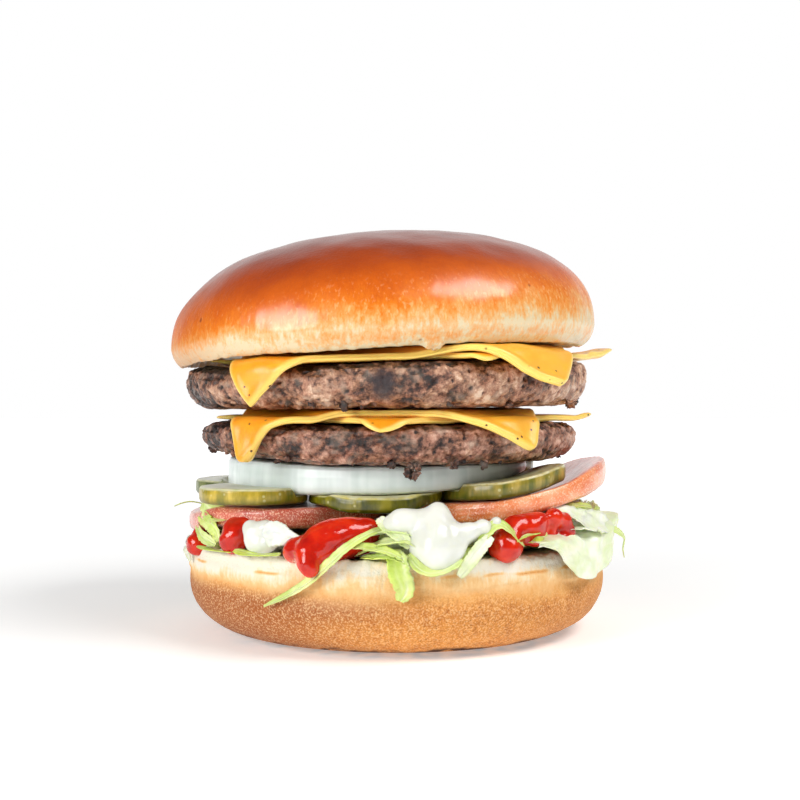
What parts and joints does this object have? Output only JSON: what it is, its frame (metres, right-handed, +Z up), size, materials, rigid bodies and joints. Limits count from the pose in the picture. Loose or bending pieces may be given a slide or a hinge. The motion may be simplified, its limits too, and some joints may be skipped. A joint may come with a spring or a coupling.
{
  "type": "double cheeseburger",
  "caption": "Double cheeseburger in a glossy round bun, with melted cheese over each patty, onion, pickles, tomato, sauces and shredded lettuce over the bottom bun",
  "frame": {"origin": "middle of the flat underside of the bottom bun, where the burger stands", "axes": "+Z is up through the layers, -Y is the front that shows the melted cheese corners, +X is the viewer's right"},
  "size_m": [0.1198, 0.1184, 0.1053],
  "materials": {
    "bottom_bun_crust": "matte porous toasted bread crust, pale at the cut edge",
    "top_bun_crust": "glossy egg-washed bread crust, paler towards the rim",
    "patty_sear": "coarse seared ground beef, a little greasy",
    "cheese_melt": "satin melted processed cheese",
    "onion_flesh": "moist translucent raw onion",
    "pickle_flesh": "wet pickled cucumber, darker at the skin",
    "tomato_flesh": "wet tomato skin and flesh",
    "lettuce_leaf": "crisp thin leaf, paler at the ribs",
    "ketchup_gloss": "glossy thick tomato sauce",
    "mayonnaise_cream": "glossy thick white sauce"
  },
  "bodies": {
    "root": {"bottom_bun": "bottom_bun_crust", "lettuce": "lettuce_leaf", "ketchup": "ketchup_gloss", "mayonnaise": "mayonnaise_cream", "tomato_left": "tomato_flesh", "tomato_right": "tomato_flesh", "pickle_left": "pickle_flesh", "pickle_left_back": "pickle_flesh", "pickle_middle": "pickle_flesh", "pickle_right": "pickle_flesh", "pickle_right_back": "pickle_flesh", "pickle_back": "pickle_flesh", "onion": "onion_flesh", "patty_lower": "patty_sear", "patty_upper": "patty_sear", "cheese_lower_diamond": "cheese_melt", "cheese_lower_square": "cheese_melt", "cheese_upper_diamond": "cheese_melt", "cheese_upper_square": "cheese_melt", "top_bun": "top_bun_crust"}
  },
  "joints": []
}
